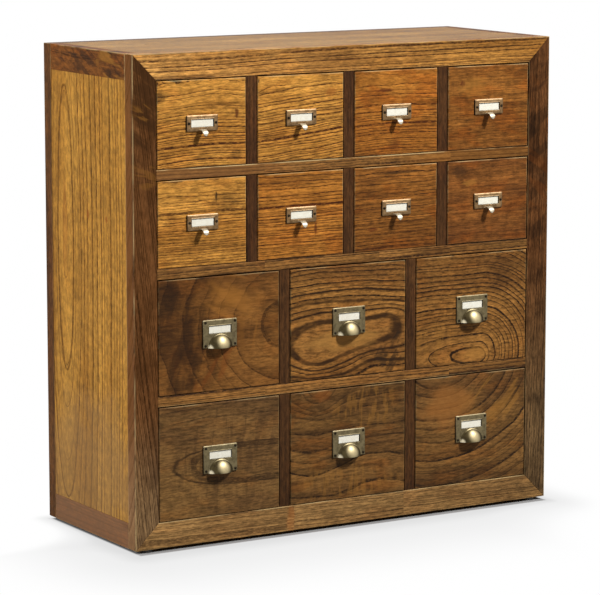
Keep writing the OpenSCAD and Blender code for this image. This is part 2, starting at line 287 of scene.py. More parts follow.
def make_wood_group():
    """Sawn ring-porous wood: growth rings round a pith, pores, fibres, streaks, blotches."""
    tree = bpy.data.node_groups.new("figured_wood", "ShaderNodeTree")
    for name, kind, value in WOOD_INPUTS:
        socket = tree.interface.new_socket(name, in_out="INPUT", socket_type="NodeSocket" + kind)
        socket.default_value = value
    for name, kind in WOOD_OUTPUTS:
        tree.interface.new_socket(name, in_out="OUTPUT", socket_type="NodeSocket" + kind)
    given = {socket.name: Wire(socket) for socket in tree.nodes.new("NodeGroupInput").outputs}
    board, seed = given["Board"], given["Seed"]
    place = board + join(*(seed * shift for shift in SEED_SHIFT))

    radius, pitch = growth(bend_grain(board, place, given["Warp"]), given)
    years = radius * given["Rings"]
    pace = {"W": years * 0.37 + seed, "Scale": 1.0, "Detail": 1.0}
    years = years + years.add("TexNoise", pace, noise_dimensions="1D")[0] * 2.4
    dotted = place.stretched(150.0, 420.0).noise(detail=1.0).ramp(0.38, 0.56, 0.60, 1.0)
    broken = place.stretched(11.0, 50.0).noise().ramp(0.28, 0.46, 0.65, 1.0) * dotted
    heart = (radius - given["Core"]).ramp(0.0, 0.006)
    lines, part, year = ring_lines(years, pitch, seed, given["Line"] * MM, 0.72)
    lines = lines * broken * heart
    hair = ring_lines(years * HAIR_LINES_PER_RING, pitch * HAIR_LINES_PER_RING, seed,
                      given["Line"] * (0.36 * MM), 0.0)[0]
    hair = hair * dotted * heart * given["Hair"]
    late = part ** 3.0 * given["Late"] * heart

    fine = given["Grain"] * FINE_GRAIN
    fleck = (place * join(100.0, fine, fine)).noise(roughness=0.6)
    fleck = fleck.ramp(0.53, 0.68) * given["Pores"]
    fibre = (place * join(70.0, fine, fine)).noise(detail=3.0, roughness=0.7)
    curl = place.stretched(75.0, 14.0).noise(distortion=0.7)
    shade = blend(given["Fibre"], 1.0, fibre.ramp(0.25, 0.75, 0.52, 1.50))
    shade = shade * year.ramp(0.0, 1.0, 0.90, 1.10)
    wave = blend(given["Curl"], 1.0, curl.ramp(0.25, 0.75, 0.55, 1.45))
    color = figured_color(place, given, lines, hair, late, fleck) * (shade * wave)

    result = {"Color": color, "Roughness": 0.38 + lines * 0.10 + fibre * 0.12,
              "Height": lines * -0.6 + fibre * 0.5 + fleck * -0.6, "Radius": radius}
    output = tree.nodes.new("NodeGroupOutput")
    for name, wire in result.items():
        tree.links.new(wire.socket, output.inputs[name])
    return tree


wood_group = make_wood_group()

# Light, middle and dark wood, and the ember that gleams in it
TONES = {
    "gold": (srgb(214, 152, 68), srgb(180, 120, 48), srgb(72, 38, 16), srgb(196, 118, 44)),
    "amber": (srgb(190, 124, 50), srgb(154, 94, 34), srgb(70, 34, 12), srgb(180, 96, 30)),
    "russet": (srgb(156, 100, 42), srgb(124, 76, 30), srgb(56, 28, 12), srgb(150, 82, 26)),
    "chestnut": (srgb(138, 86, 38), srgb(108, 64, 28), srgb(52, 26, 12), srgb(136, 74, 26)),
    "umber": (srgb(162, 112, 54), srgb(116, 76, 36), srgb(34, 19, 9), srgb(148, 90, 36)),
    "olive": (srgb(122, 86, 44), srgb(92, 62, 32), srgb(38, 24, 12), srgb(122, 74, 30)),
    "cocoa": (srgb(104, 68, 36), srgb(76, 46, 24), srgb(34, 20, 10), srgb(104, 60, 28)),
    "honey": (srgb(190, 138, 60), srgb(162, 112, 44), srgb(92, 56, 20), srgb(180, 122, 44)),
    "toffee": (srgb(188, 134, 66), srgb(146, 98, 44), srgb(62, 34, 14), srgb(170, 108, 40)),
    "stile": (srgb(126, 84, 48), srgb(92, 60, 34), srgb(28, 16, 8), srgb(116, 70, 34)),
    "rail": (srgb(156, 108, 54), srgb(122, 84, 42), srgb(50, 30, 15), srgb(146, 92, 42)),
    "straw": (srgb(154, 116, 68), srgb(126, 92, 52), srgb(66, 45, 24), srgb(142, 96, 52)),
    "pine": (srgb(214, 180, 132), srgb(196, 158, 108), srgb(150, 108, 66), srgb(206, 164, 106)),
}
# Pale arris colour: partly worn varnish, partly a painted highlight on the lit edges
WORN_AND_HIGHLIT = srgb(214, 184, 130)
RED_DARK = srgb(78, 28, 16)
SMOKE = srgb(50, 32, 18)
GILT = srgb(168, 116, 50)
RUST = srgb(140, 78, 30)
SOOT = srgb(34, 24, 16)

# Axes of the chest along the grain, across it and into the board
GRAIN_X = (X, Z, Y)
GRAIN_Z = (Z, X, Y)
GRAIN_Y = (Y, Z, X)
GRAIN_TOP = (X, Y, Z)
GRAIN_SIDE = (Z, Y, X)


def board_space(tree, node, axes):
    """Coordinates from the board's middle, along the grain, across it and into it, and
    half its size in the same order."""
    low, high = (Vector(corner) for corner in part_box(node))
    centre, half = (low + high) / 2, (high - low) / 2
    parts = (object_place(tree) - tuple(centre)).parts()
    return join(*(parts[axis] for axis in axes)), [half[axis] for axis in axes]


def knot_swell(board, knots):
    """How far each knot pushes the growth rings aside, in metres."""
    swell = 0.0
    for along, across, reach_along, reach_across, push in knots:
        offset = (board - (along, across, 0)) * (1 / reach_along, 1 / reach_across, 0)
        swell = swell + (offset.length() ** 2.0 * -1.0).exponential() * push
    return swell


def ragged_spot(board, place, reach, index):
    """Distance from a spot, 1 at its torn rim."""
    offset = (board - (*place, 0)) * (1 / reach[0], 1 / reach[1], 0)
    torn = (offset + (3.7 * index, 1.9 * index, 0)).noise(scale=1.4, detail=4.0, roughness=0.6)
    return offset.length() + (torn - 0.5) * 1.6


def paint_patches(board, color, patches):
    """Soft coloured patches in the wood, such as the heart of a knot or a pale cloud."""
    for index, (along, across, reach_along, reach_across, tint, strength) in enumerate(patches):
        far = ragged_spot(board, (along, across), (reach_along, reach_across), index)
        color = mix(far.ramp(1.15, 0.45, 0.0, strength), color, tint)
    return color


def paint_slants(board, color, slants, skin):
    """Regions where the figure runs aslant: place, reach, angle, stripes per metre, tint and
    strength. They lie in the face of the board, at the depth that the skin gives."""
    along, across, deep = board.parts()
    for index, (place, reach, angle, pace, tint, strength) in enumerate(slants):
        cos, sin = math.cos(math.radians(angle)), math.sin(math.radians(angle))
        run = along * cos + across * sin
        over = across * cos - along * sin
        stripe = join(run * (pace * 0.22), over * pace, 5.3 * index)
        stripe = stripe.noise(detail=3.0, roughness=0.55, distortion=0.5)
        far = ragged_spot(board, place, reach, index + 11)
        share = stripe.ramp(0.47, 0.58) * far.ramp(1.15, 0.75)
        share = share * deep.ramp(skin + 2 * MM, skin)
        color = mix(share * strength, color, tint)
    return color


def paint_bands(board, color, radius, bands, dark):
    """Broad dark growth rings: each has an inner and an outer radius and a strength."""
    if not bands:
        return color
    torn = board.stretched(60.0, 110.0).noise(detail=3.0, roughness=0.6)
    radius = radius + (torn - 0.5) * (3.5 * MM)
    pale = board.stretched(24.0, 40.0).noise().ramp(0.34, 0.56, 0.7, 1.0)
    for inner, outer, strength in bands:
        edge = (outer - inner) * 0.18 + 0.4 * MM
        ring = radius.ramp(inner - edge, inner + edge) * radius.ramp(outer + edge, outer - edge)
        color = mix(ring * pale * strength, color, dark)
    return color


def arris_wear_and_highlight(board, half, color, strength, rub):
    """Pale arrises: partly varnish rubbed thin, partly a painted highlight where the rounded arris
    catches the light. The highlight share is its share at the low and high edges, so the lit edge
    gets more.
    """
    ends, edges, faces = (size - part for size, part in zip(half, abs(board).parts()))
    from_arris = ends.at_most(edges).at_least(ends.at_least(edges).at_most(faces))
    patchy = board.stretched(18.0, 60.0).noise(detail=3.0)
    worn_and_lit = from_arris.ramp(1.9 * MM, 0.6 * MM) * patchy.ramp(0.34, 0.6)
    worn_and_lit = worn_and_lit * board.parts()[Y].ramp(-half[Y], half[Y], *rub)
    return mix(worn_and_lit * strength, color, WORN_AND_HIGHLIT)


def wood(node, axes, tone, seed, knots=(), patches=(), bands=(), slants=(), joints=(),
         rows=(), fade=(1.0, 1.0), span=None, skin=1.0, flank=None, gloss=0.08, wear=0.5,
         rub=(0.3, 1.0), tint=1.0, **settings):
    """A board with its own figure. Places and sizes are in metres from its middle. Joints and
    rows are places where another board begins, along and across. The fade tints the two ends
    of the span, and the flank, where given, the two ends of what lies deeper than the skin."""
    material, tree = new_material(node)
    board, half = board_space(tree, node, axes)
    along, across, deep = board.parts()
    grown = float(seed)
    for place, edges, step in ((along, joints, 3.9), (across, rows, 7.3)):
        for edge in edges:
            grown = grown + place.above(edge) * step
    inputs = dict(zip(("Light", "Mid", "Dark", "Ember"), TONES[tone]))
    inputs |= {key.replace("_", " ").capitalize(): value for key, value in settings.items()}
    inputs |= {"Board": board, "Seed": grown, "Swell": knot_swell(board, knots)}
    figure = add_node(tree, "Group", inputs, node_tree=wood_group)
    color = paint_bands(board, figure["Color"], figure["Radius"], bands, inputs["Dark"])
    color = paint_slants(board, color, slants, skin)
    color = paint_patches(board, color, patches)
    if joints:
        color = color * (grown.chance() * 0.3 + 0.85)
    shades = [[tint * part for part in (end if isinstance(end, tuple) else (end,) * 3)]
              for end in fade]
    share = along.ramp(*(span or (-half[X], half[X])))
    color = color * mix(share, *((*shade, 1.0) for shade in shades))
    if flank:
        low_tint, high_tint, strength = flank
        covered = deep.ramp(skin - half[Z], skin + 2 * MM) * strength
        color = mix(covered, color, mix(share, low_tint, high_tint))
    # Pale arrises: partly wear, partly a painted highlight that is strongest on the lit edge
    if wear:
        color = arris_wear_and_highlight(board, half, color, wear, rub)
    principled(tree, (figure["Height"], 0.35, 0.5 * MM), {
        "Base Color": color, "Roughness": figure["Roughness"], "Specular IOR Level": gloss})
    return material


FRAME_BEVEL = 0.9 * MM
BOARD_BEVEL = 0.7 * MM
HIDDEN_BEVEL = 0.4 * MM
GLIDE_BEVEL = 0.8 * MM
BEVEL_ANGLE = math.radians(40)


def dress(node, material, bevel):
    """Gives a CAD node its material and softens its edges."""
    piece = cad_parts[node]
    piece.data.materials.clear()
    piece.data.materials.append(material)
    weld = piece.modifiers.new("weld", "WELD")
    weld.merge_threshold = 0.01 * MM
    edge = piece.modifiers.new("soft_edges", "BEVEL")
    edge.width = bevel
    edge.segments = 3
    edge.limit_method = "ANGLE"
    edge.angle_limit = BEVEL_ANGLE
    edge.harden_normals = True


# Grain and looks of the carcass boards. Patches: place, reach, tint and strength. Slants are
# described at paint_slants
BOARDS = {
    "front_stile_left": (GRAIN_Z, dict(
        tone="stile", seed=3.1, pith=(-0.1, 0.16, 0.05), rings=190.0, lean=-0.12,
        contrast=1.1, line=1.4, late=0.3, hair=0.5, blotch=0.4, glow=0.15, gloss=0.03,
        fade=((1.62, 2.3, 3.0), (0.96, 0.92, 0.92)), span=(-0.36, -0.15), skin=-0.005,
        # The pale line along its left arris is mostly a painted highlight
        flank=(srgb(146, 104, 68), srgb(124, 76, 30), 0.6), wear=0.5, rub=(1.0, 0.0),
        slants=[((0.34, 0.0), (0.07, 0.06), 124, 34.0, SOOT, 0.7),
                ((0.25, 0.0), (0.05, 0.06), 124, 46.0, SOOT, 0.7),
                ((0.306, -0.004), (0.015, 0.030), 118, 80.0, GILT, 0.36),
                ((0.205, 0.0), (0.020, 0.03), 110, 70.0, GILT, 0.25)])),
    "front_stile_right": (GRAIN_Z, dict(
        tone="stile", seed=8.7, pith=(0.0, -0.14, 0.05), rings=200.0, lean=0.05,
        contrast=0.8, line=1.3, late=0.25, hair=0.4, blotch=0.55, glow=0.15, skin=-0.005,
        gloss=0.03, fade=((0.98, 1.33, 1.65), (0.75, 0.70, 0.68)), span=(-0.33, 0.05),
        slants=[((0.24, 0.0), (0.17, 0.06), 60, 34.0, SOOT, 0.45),
                ((0.20, 0.0), (0.12, 0.06), 120, 40.0, RUST, 0.2)])),
    "side_panel_left": (GRAIN_SIDE, dict(
        tone="honey", seed=21.3, pith=(0.07, 0.082, 0.004), rings=62.0,
        reach_left=0.125, reach_right=0.10, warp=0.010, contrast=0.95, line=3.0, hair=0.7,
        blotch=0.06, streak=0.2, curl=0.15, glow=0.12, grain=0.45, fibre=0.7,
        fade=(1.02, 1.06), gloss=0.03,
        patches=[(0.130, 0.002, 0.010, 0.004, RUST, 0.8),
                 (0.128, -0.062, 0.006, 0.004, RUST, 0.8),
                 (0.10, 0.085, 0.10, 0.010, RUST, 0.35),
                 (-0.30, 0.0, 0.14, 0.20, srgb(148, 116, 78), 0.45)])),
    "side_panel_right": (GRAIN_SIDE, dict(
        tone="honey", seed=27.9, pith=(-0.1, -0.05, 0.004), rings=60.0,
        reach_left=0.12, reach_right=0.14, warp=0.012, contrast=1.0, line=3.0, hair=0.8,
        blotch=0.06, streak=0.3, curl=0.15, glow=0.12, grain=0.5, gloss=0.03)),
    "front_rail_top": (GRAIN_X, dict(
        tone="toffee", seed=4.4, pith=(0.05, 0.10, 0.03), rings=190.0, lean=0.012,
        contrast=1.2, streak=0.7, fade=((1.64, 1.74, 2.0), (1.0, 0.96, 0.84)))),
    "front_rail_bottom": (GRAIN_X, dict(
        tone="straw", seed=5.9, pith=(0.0, -0.10, 0.04), rings=220.0, lean=-0.01,
        contrast=0.8, joints=(-0.118, -0.105, 0.11), fade=((1.8, 1.84, 1.88), 1.08),
        patches=[(-0.111, 0.0, 0.009, 0.03, RUST, 0.3)])),
    "side_rails": (GRAIN_Y, dict(
        tone="chestnut", seed=6.6, rings=130.0, glow=0.4, pith=(0, 0.5, 0.03),
        contrast=0.8, tint=0.86, gloss=0.03, grain=0.5, line=2.5,
        fade=((1.04, 1.0, 0.86), (1.04, 1.0, 0.86)),
        slants=[((0.0, 0.38), (0.12, 0.04), 25, 60.0, SOOT, 0.55),
                ((-0.09, 0.38), (0.05, 0.03), 15, 45.0, GILT, 0.6)],
        patches=[(0.0, -0.38, 0.30, 0.06, srgb(158, 120, 94), 0.6)])),
    "rear_stiles": (GRAIN_Z, dict(
        tone="cocoa", seed=9.2, rings=120.0, gloss=0.02, tint=1.25, pith=(0, 0.6, 0.05))),
    "rear_rails": (GRAIN_X, dict(tone="cocoa", seed=9.9, rings=120.0)),
    "row_rails": (GRAIN_X, dict(
        tone="rail", seed=12.4, joints=(-0.16, 0.06, 0.20), rows=(-0.08, 0.1),
        rings=170.0, pith=(0, 0.5, 0.03), contrast=1.1, streak=0.8, wear=0.8,
        fade=(1.46, 0.82),
        patches=[(-0.28, 0.182, 0.16, 0.03, srgb(112, 74, 40), 0.6),
                 (0.26, 0.182, 0.14, 0.03, srgb(156, 98, 40), 0.4)])),
    "divider_posts": (GRAIN_Z, dict(
        tone="cocoa", seed=14.8, rings=140.0, fade=(0.60, 0.90), pith=(0, 0.6, 0.03),
        contrast=0.5, wear=0)),
    "top_panel": (GRAIN_TOP, dict(
        tone="toffee", seed=16.1, rings=90.0, contrast=0.6, pith=(0.1, 0.03, 0.03),
        reach_left=0.1, reach_right=0.1, tint=1.08, span=(-0.05, 0.35),
        fade=((0.88, 1.0, 1.07), (0.64, 0.67, 0.62)))),
}


def plain_wood(node, axes, seed):
    return wood(node, axes, "pine", seed, contrast=0.4, blotch=0.08, streak=0.2, glow=0.05,
                wear=0)


def dress_carcass():
    for node, (axes, figure) in BOARDS.items():
        small = node in ("row_rails", "divider_posts")
        dress(node, wood(node, axes, **figure), BOARD_BEVEL if small else FRAME_BEVEL)
    plain = {"bottom_panel": GRAIN_TOP, "back_panel": GRAIN_Z, "shelves": GRAIN_TOP,
             "partitions": GRAIN_Y, "drawer_guides": GRAIN_Y}
    for index, (node, axes) in enumerate(plain.items()):
        dress(node, plain_wood(node, axes, 31.0 + index), HIDDEN_BEVEL)


SMALL_ROWS = (1, 2)
LARGE_FRONT = dict(wear=0.3, curl=0.15)

# Drawer fronts by row and column. Knots: place, reach and push. Bands: inner and outer radius
# and strength
FIGURES = {
    (1, 1): dict(
        tone="gold", seed=41.2, pith=(0.02, 0.075, 0.07), rings=250.0, arch=0.5,
        patches=[(-0.044, 0.070, 0.011, 0.005, SOOT, 0.9),
                 (-0.076, 0.044, 0.012, 0.011, SMOKE, 0.6),
                 (0.064, 0.014, 0.004, 0.009, RED_DARK, 0.75),
                 (0.002, -0.054, 0.018, 0.006, SMOKE, 0.45),
                 (0.062, -0.054, 0.014, 0.010, SMOKE, 0.5)]),
    (1, 2): dict(
        tone="gold", seed=42.7, pith=(0.0, 0.08, 0.06), rings=230.0, lean=0.09,
        warp=0.016, patches=[(0.058, 0.040, 0.012, 0.008, RUST, 0.6)]),
    (1, 3): dict(
        tone="amber", seed=43.1, pith=(0.0, 0.078, 0.07), rings=230.0, arch=0.35,
        glow=0.5, blotch=0.4, contrast=1.0,
        patches=[(-0.022, 0.037, 0.020, 0.0035, RED_DARK, 0.7),
                 (-0.004, -0.055, 0.014, 0.012, SMOKE, 0.35)]),
    (1, 4): dict(
        tone="russet", seed=44.6, pith=(0.0, 0.12, 0.06), rings=200.0, contrast=0.4,
        curl=0.3, glow=0.6, blotch=0.4,
        patches=[(-0.052, 0.041, 0.006, 0.006, RED_DARK, 0.8),
                 (-0.030, 0.034, 0.030, 0.018, GILT, 0.35)]),
    (2, 1): dict(
        tone="gold", seed=45.3, pith=(0.0, 0.075, 0.06), rings=250.0, contrast=1.0,
        patches=[(0.026, 0.041, 0.0025, 0.009, SOOT, 0.85),
                 (0.045, 0.030, 0.030, 0.016, SMOKE, 0.4)]),
    (2, 2): dict(
        tone="amber", seed=46.9, pith=(0.0, 0.09, 0.05), rings=235.0,
        patches=[(0.0, 0.058, 0.09, 0.012, SMOKE, 0.35),
                 (0.028, -0.024, 0.003, 0.012, RED_DARK, 0.7)]),
    (2, 3): dict(
        tone="russet", seed=47.4, pith=(0.0, 0.085, 0.05), rings=220.0, warp=0.014,
        glow=0.6, contrast=1.0,
        patches=[(0.004, 0.058, 0.05, 0.0025, SOOT, 0.7),
                 (-0.045, -0.034, 0.011, 0.004, RED_DARK, 0.6)]),
    (2, 4): dict(
        tone="chestnut", seed=48.8, pith=(0.0, 0.12, 0.06), rings=200.0,
        contrast=0.4, curl=0.3, blotch=0.4, glow=0.6,
        patches=[(-0.058, 0.052, 0.020, 0.010, SMOKE, 0.6),
                 (-0.036, 0.032, 0.016, 0.006, GILT, 0.45)]),
    (3, 1): dict(
        tone="umber", seed=51.2, pith=(0.123, 0.010, 0.01), rings=34.0,
        reach_left=1.0, reach_right=1.0, warp=0.03, contrast=0.7, hair=0.25,
        line=1.9, late=0.35, blotch=0.5, tint=0.70, fibre=0.8,
        fade=((1.0, 0.92, 0.92), (1.0, 0.94, 0.94)),
        slants=[((0.020, 0.055), (0.080, 0.040), -25, 22.0, srgb(190, 130, 58), 0.55),
                ((0.070, -0.010), (0.050, 0.060), 80, 28.0, srgb(176, 118, 52), 0.4),
                ((-0.030, -0.030), (0.060, 0.060), 65, 34.0, RUST, 0.5),
                ((-0.070, -0.010), (0.065, 0.090), 75, 40.0, SOOT, 0.45)],
        patches=[(-0.078, 0.0, 0.046, 0.100, SMOKE, 0.6),
                 (-0.100, 0.066, 0.034, 0.030, SOOT, 0.6),
                 (0.010, 0.058, 0.040, 0.022, srgb(196, 134, 56), 0.3)]),
    (3, 2): dict(
        tone="umber", seed=52.6, pith=(-0.010, -0.028, 0.0), rings=105.0,
        reach_left=0.31, reach_right=0.31, core=0.040, warp=0.020, contrast=1.4,
        line=2.0, late=0.5, blotch=0.2, tint=1.1, pores=0.6, grain=0.8,
        knots=[(-0.065, -0.056, 0.035, 0.028, -0.013),
               (0.045, -0.066, 0.050, 0.026, 0.017),
               (0.0, 0.016, 0.030, 0.014, 0.007),
               (0.080, 0.000, 0.035, 0.020, -0.009)],
        bands=[(0.029, 0.037, 0.9), (0.046, 0.049, 0.7), (0.061, 0.065, 0.9),
               (0.078, 0.082, 0.8)],
        slants=[((0.088, -0.058), (0.035, 0.035), 55, 60.0, SOOT, 0.6)],
        patches=[(-0.010, -0.030, 0.080, 0.020, srgb(174, 126, 62), 0.5)]),
    (3, 3): dict(
        tone="umber", seed=53.3, pith=(0.014, -0.078, 0.006), rings=135.0,
        reach_left=0.22, reach_right=1.0, warp=0.016, contrast=1.3, line=1.7,
        late=0.35, core=0.016, blotch=0.2, pores=0.6, grain=0.8, hair=0.3,
        patches=[(0.010, -0.076, 0.030, 0.012, srgb(176, 122, 56), 0.5)],
        slants=[((-0.07, -0.05), (0.045, 0.03), 85, 95.0, GILT, 0.2)]),
    (4, 1): dict(
        tone="olive", seed=54.7, pith=(0.057, -0.012, 0.0), rings=30.0,
        tint=1.12, fade=((1.02, 1.10, 1.20), (1.04, 1.12, 1.26)),
        reach_left=0.23, reach_right=0.15, contrast=0.7, hair=0.3,
        line=2.2, late=0.1, warp=0.014, bands=[(0.0338, 0.0356, 0.85)], blotch=0.3,
        slants=[((0.02, 0.0), (0.10, 0.09), 85, 60.0, SMOKE, 0.35)]),
    (4, 2): dict(
        tone="olive", seed=55.1, pith=(0.0, 0.45, 0.02), rings=42.0,
        reach_left=0.1, reach_right=0.1, contrast=1.0, line=2.4, late=0.5,
        warp=0.036, hair=0.4, glow=0.6, tint=1.08,
        knots=[(-0.058, 0.100, 0.034, 0.042, -0.075),
               (0.045, -0.040, 0.060, 0.050, 0.020),
               (-0.070, -0.020, 0.040, 0.040, -0.010)],
        slants=[((0.04, 0.06), (0.06, 0.032), 88, 105.0, GILT, 0.24),
                ((0.0, -0.066), (0.10, 0.026), 88, 110.0, GILT, 0.2)],
        patches=[(-0.050, 0.086, 0.020, 0.012, RUST, 0.4)]),
    (4, 3): dict(
        tone="olive", seed=56.8, pith=(-0.062, 0.150, 0.0), rings=52.0,
        reach_left=0.9, reach_right=0.9, contrast=1.1, line=2.4, late=0.45,
        warp=0.020, glow=0.4, tint=1.12,
        slants=[((0.05, 0.05), (0.06, 0.04), 45, 30.0, GILT, 0.35)],
        patches=[(-0.045, 0.045, 0.060, 0.040, srgb(146, 94, 44), 0.6)]),
}


def dress_drawers():
    for (row, column), figure in FIGURES.items():
        name = f"row{row}_drawer{column}"
        shared = {} if row in SMALL_ROWS else LARGE_FRONT
        front = wood(name + "_front", GRAIN_X, **shared, **figure)
        dress(name + "_front", front, BOARD_BEVEL)
        seed = 60.0 + row + column / 7
        dress(name + "_box", plain_wood(name + "_box", GRAIN_Y, seed), HIDDEN_BEVEL)


# Pulls: sizes in mm, and points are (right, out of the drawer, up) from the plate's middle
PLATE_T = 3.0
CARD_T = 1.8
WINDOW = (40.0, 12.0)
SMALL_PLATE = (57.0, 25.5)
LARGE_PLATE = (62.5, 45.5)
WINDOW_UP = 6.7
CUP_HALF_WIDTH = 22.0
CUP_OUT = 12.0
TONGUE_OUT = 14.4
SCREW_INSET = 4.0
CARD_LAP = 1.15
POCKET_LAP = 1.3
POCKET_DEPTH = CARD_T + 0.02
SLOT_HALF = 0.4
SLOT_FLOOR = 0.4
SHARP_ANGLE = math.radians(38)
# A domed screw head's outline: distance from its middle, and height over the plate
HEAD_OUTLINE = [(2.3, 0.0), (2.3, 0.25), (2.14, 0.5), (1.8, 0.78), (1.27, 0.97), (0.64, 1.07)]
# The bead's section round a window: distance outside the window, and height over the plate
BEAD = [(1.6, 0.0), (1.5, 0.2), (1.3, 0.38), (1.05, 0.48), (0.8, 0.45), (0.6, 0.25),
        (0.15, POCKET_DEPTH + 0.18 - PLATE_T), (0.0, POCKET_DEPTH - PLATE_T)]


def rounded_loop(width, height, radius, centre_up, out, steps=5):
    """A rounded rectangle of points, anticlockwise from the lower right corner."""
    points = []
    corners = ((1, -1, -90), (1, 1, 0), (-1, 1, 90), (-1, -1, 180))
    radius = max(radius, 0.02)
    for side_x, side_z, start in corners:
        for step in range(steps + 1):
            angle = math.radians(start + 90 * step / steps)
            points.append((side_x * (width / 2 - radius) + radius * math.cos(angle), out,
                           centre_up + side_z * (height / 2 - radius) + radius * math.sin(angle)))
    return points


def loft(bm, loops, closed=False):
    """Faces between loops of points that each close on themselves."""
    rows = [[bm.verts.new(point) for point in loop] for loop in loops]
    pairs = list(zip(rows, rows[1:]))
    if closed:
        pairs.append((rows[-1], rows[0]))
    for low, high in pairs:
        for i in range(len(low)):
            j = (i + 1) % len(low)
            bm.faces.new((low[i], low[j], high[j], high[i]))
    return rows


def tube(bm, loops):
    """A closed solid through loops of points."""
    rows = loft(bm, loops)
    bm.faces.new(rows[0])
    bm.faces.new(rows[-1][::-1])


def with_sides(path):
    """Each point of a flat path, and the direction square to the path there."""
    for k, point in enumerate(path):
        before, after = path[max(k - 1, 0)], path[min(k + 1, len(path) - 1)]
        along = Vector((after[0] - before[0], after[1] - before[1])).normalized()
        yield point, Vector((-along.y, along.x))


def make_plate(bm, size, window_up, border):
    """A plate with rounded edges, border wide, and a beaded window over a pocket."""
    width, height = size
    corner = 1.4
    drop = 1.5
    turns = [math.pi / 2 * k / 6 for k in range(7)]
    edge = [(border * (1 - math.cos(t)), PLATE_T - drop * (1 - math.sin(t))) for t in turns]
    loops = [rounded_loop(width, height, corner, 0, 0)]
    loops += [rounded_loop(width - 2 * inset, height - 2 * inset, corner - inset * 0.4, 0, out)
              for inset, out in edge]
    loops += [rounded_loop(WINDOW[0] + 2 * wide, WINDOW[1] + 2 * wide, 0.3 + wide * 0.5,
                           window_up, PLATE_T + rise) for wide, rise in BEAD]
    pocket = [side + 2 * POCKET_LAP for side in WINDOW]
    loops += [rounded_loop(*pocket, 0.3, window_up, out) for out in (POCKET_DEPTH, 0)]
    loft(bm, loops, closed=True)
    # The outer walls and the window's inner faces take the second material, near-black brass, as
    # painted shade
    for face in bm.faces:
        middle = face.calc_center_median()
        inside = (abs(middle.x) < WINDOW[0] / 2 + 0.5
                  and abs(middle.z - window_up) < WINDOW[1] / 2 + 0.5)
        top = middle.z > height / 2 - 0.3
        wall = middle.y < PLATE_T - drop - 0.01 and not top
        face.material_index = 1 if wall or inside and middle.y < PLATE_T + 0.3 else 0


def make_card(bm, window_up):
    width, height = (side + 2 * CARD_LAP for side in WINDOW)
    loops = [rounded_loop(width, height, 0.4, window_up, 0.02),
             rounded_loop(width, height, 0.4, window_up, CARD_T - 0.1),
             rounded_loop(width - 0.2, height - 0.2, 0.3, window_up, CARD_T)]
    rows = loft(bm, loops)
    bm.faces.new(rows[0][::-1])
    bm.faces.new(rows[-1])


def make_cup(bm):
    """The upper half of a domed cup with a flared foot and a rolled lip along its open side."""
    base_up = -LARGE_PLATE[1] / 2
    radius = (CUP_HALF_WIDTH ** 2 + CUP_OUT ** 2) / (2 * CUP_OUT)
    centre_out = PLATE_T + CUP_OUT - radius
    wall = 1.3

    def dome(r, steps, low):
        limit = math.acos((low - centre_out) / r)
        angles = [limit * (1 - k / steps) for k in range(steps)]
        return [(r * math.sin(a), centre_out + r * math.cos(a)) for a in angles]

    outer = [(CUP_HALF_WIDTH + 0.5, PLATE_T - 0.05), (CUP_HALF_WIDTH + 0.3, PLATE_T + 0.25),
             (CUP_HALF_WIDTH + 0.1, PLATE_T + 0.55)] + dome(radius, 16, PLATE_T + 0.9)
    inner = dome(radius - wall, 12, PLATE_T - 0.05)
    steps = 36
    half_turn = [math.pi * k / steps for k in range(steps + 1)]

    def sweep(profile, tip_out):
        grid = [[bm.verts.new((r * math.cos(t), out, base_up + r * math.sin(t)))
                 for t in half_turn] for r, out in profile]
        tip = bm.verts.new((0, tip_out, base_up))
        for low, high in zip(grid, grid[1:]):
            for i in range(steps):
                bm.faces.new((low[i], high[i], high[i + 1], low[i + 1]))
        for i in range(steps):
            bm.faces.new((grid[-1][i], tip, grid[-1][i + 1]))
        return grid, tip

    outside, tip_out = sweep(outer, centre_out + radius)
    inside, tip_in = sweep(inner, centre_out + radius - wall)
    rim_out = [row[0] for row in outside] + [tip_out] + [row[-1] for row in reversed(outside)]
    rim_in = [row[0] for row in inside] + [tip_in] + [row[-1] for row in reversed(inside)]
    close_strip(bm, rim_out, rim_in)
    foot_out, foot_in = outside[0], inside[0]
    close_strip(bm, foot_out, foot_in)
    tube_r = wall / 2 + 0.12
    tube_up = base_up + 0.35
    tube_steps = 10
    side_path = dome(radius - tube_r, 20, PLATE_T)
    path = side_path + [(0, centre_out + radius - tube_r)]
    path += [(-r, out) for r, out in reversed(side_path)]
    turns = [2 * math.pi * j / tube_steps for j in range(tube_steps)]
    tube(bm, [[(x + side.x * tube_r * math.cos(a), out + side.y * tube_r * math.cos(a),
                tube_up + tube_r * math.sin(a)) for a in turns]
              for (x, out), side in with_sides(path)])


def close_strip(bm, outer, inner):
    """Faces between two open rows of points with different counts."""
    i = j = 0
    outer_last, inner_last = len(outer) - 1, len(inner) - 1
    while i < outer_last or j < inner_last:
        outer_next = i < outer_last and (i + 1) / outer_last <= (j + 1) / inner_last
        if j == inner_last or outer_next:
            bm.faces.new((outer[i], outer[i + 1], inner[j]))
            i += 1
        else:
            bm.faces.new((outer[i], inner[j + 1], inner[j]))
            j += 1


